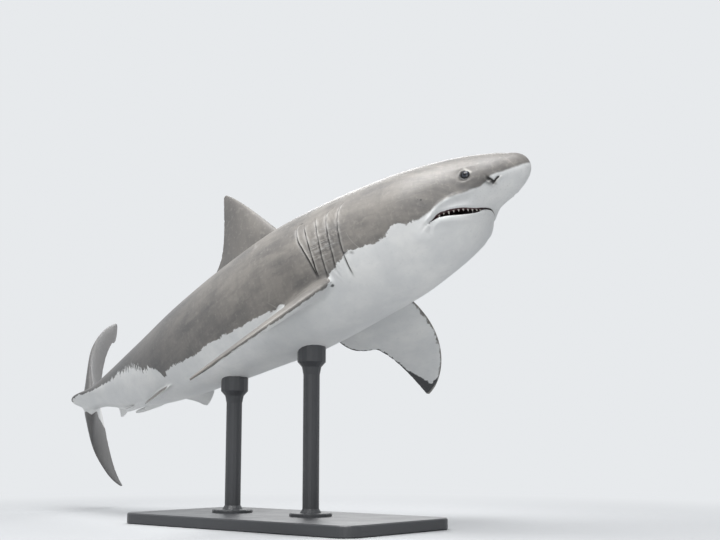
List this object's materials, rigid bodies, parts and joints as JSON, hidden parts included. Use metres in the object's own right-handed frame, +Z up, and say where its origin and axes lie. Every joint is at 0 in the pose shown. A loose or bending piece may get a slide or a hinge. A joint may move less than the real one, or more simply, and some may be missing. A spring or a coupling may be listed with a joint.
{
  "type": "great white shark model on a display stand",
  "caption": "Life-size still model of a great white shark, swimming with its mouth just open and its tail swept to the left, held by two short rods on a flat base.",
  "frame": {"origin": "centre of the underside of the stand's base plate", "axes": "+X towards the snout along the animal's length, +Y to its left side, +Z up"},
  "size_m": [3.9871, 1.9925, 1.9452],
  "materials": {
    "skin": "satin shark skin, grey-brown back over a white belly, with a fine tooth-like grain",
    "eye": "wet black eye",
    "teeth": "ivory tooth enamel",
    "mouth": "moist dark pink gum and mouth lining",
    "stand": "satin black paint"
  },
  "bodies": {
    "root": {"head": "skin", "lower_jaw": "skin", "eye_right": "eye", "eye_left": "eye", "gill_region": "skin", "trunk_front": "skin", "trunk_rear": "skin", "tail_stalk": "skin", "tail_fin_upper_lobe": "skin", "tail_fin_lower_lobe": "skin", "dorsal_fin": "skin", "second_dorsal_fin": "skin", "anal_fin": "skin", "pectoral_fin_right": "skin", "pelvic_fin_right": "skin", "clasper_right": "skin", "pectoral_fin_left": "skin", "pelvic_fin_left": "skin", "clasper_left": "skin", "stand_base": "stand", "stand_rod_front": "stand", "stand_rod_rear": "stand"}
  },
  "joints": []
}
